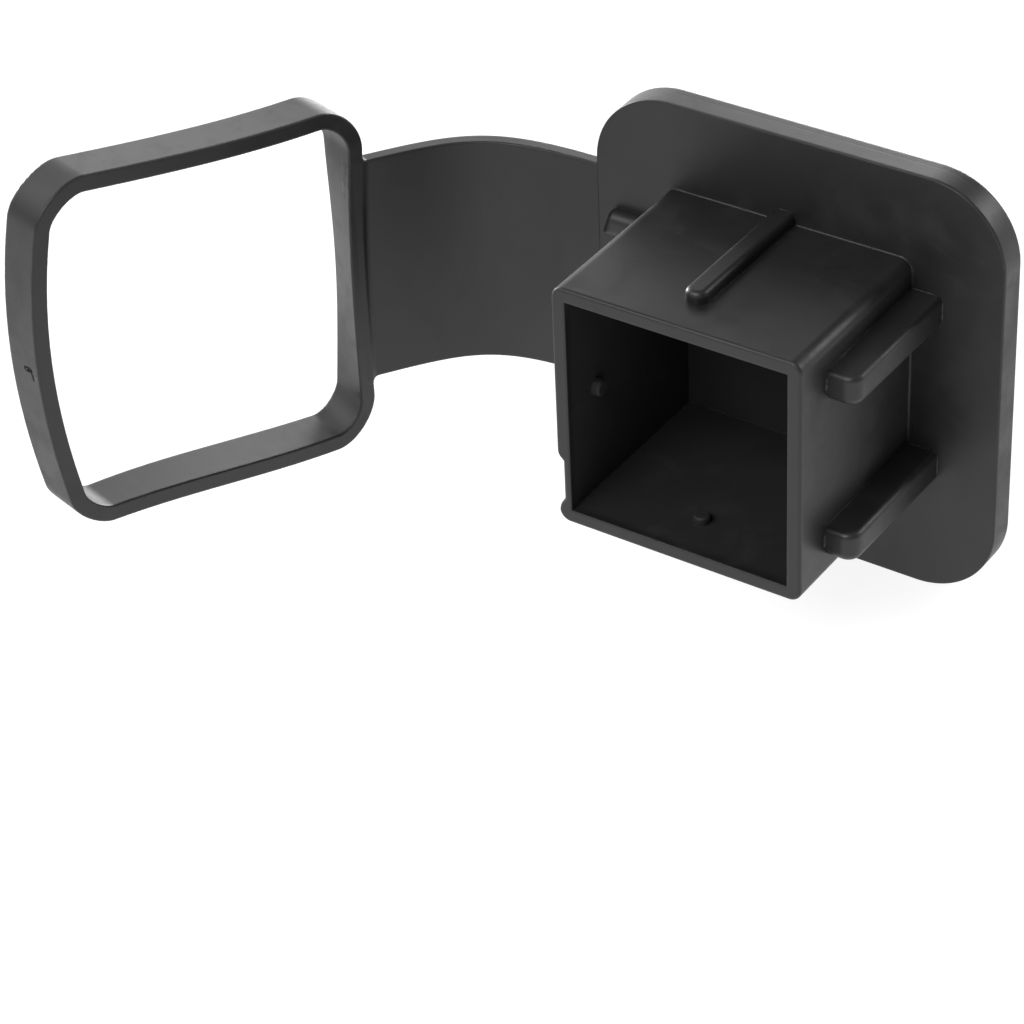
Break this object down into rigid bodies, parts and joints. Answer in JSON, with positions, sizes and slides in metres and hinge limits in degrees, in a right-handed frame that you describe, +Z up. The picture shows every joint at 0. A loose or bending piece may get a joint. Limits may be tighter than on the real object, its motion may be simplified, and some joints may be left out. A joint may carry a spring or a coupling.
{
  "type": "hitch receiver cover",
  "caption": "Square hollow rubber plug on a rounded face plate that closes a towing receiver tube, with a strap and a square tether loop that slips over the tube.",
  "frame": {"origin": "on the plug's axis, in the plane of the face plate's back face, which seats on the mouth of the receiver tube", "axes": "-Y along the plug into the receiver tube, +Y out of the plate's front, +Z up, +X away from the strap; the strap and the tether loop leave towards -X"},
  "size_m": [0.1403, 0.0884, 0.0823],
  "materials": {
    "rubber": "satin black moulded rubber"
  },
  "bodies": {
    "root": {"hitch_cover": "rubber"}
  },
  "joints": []
}
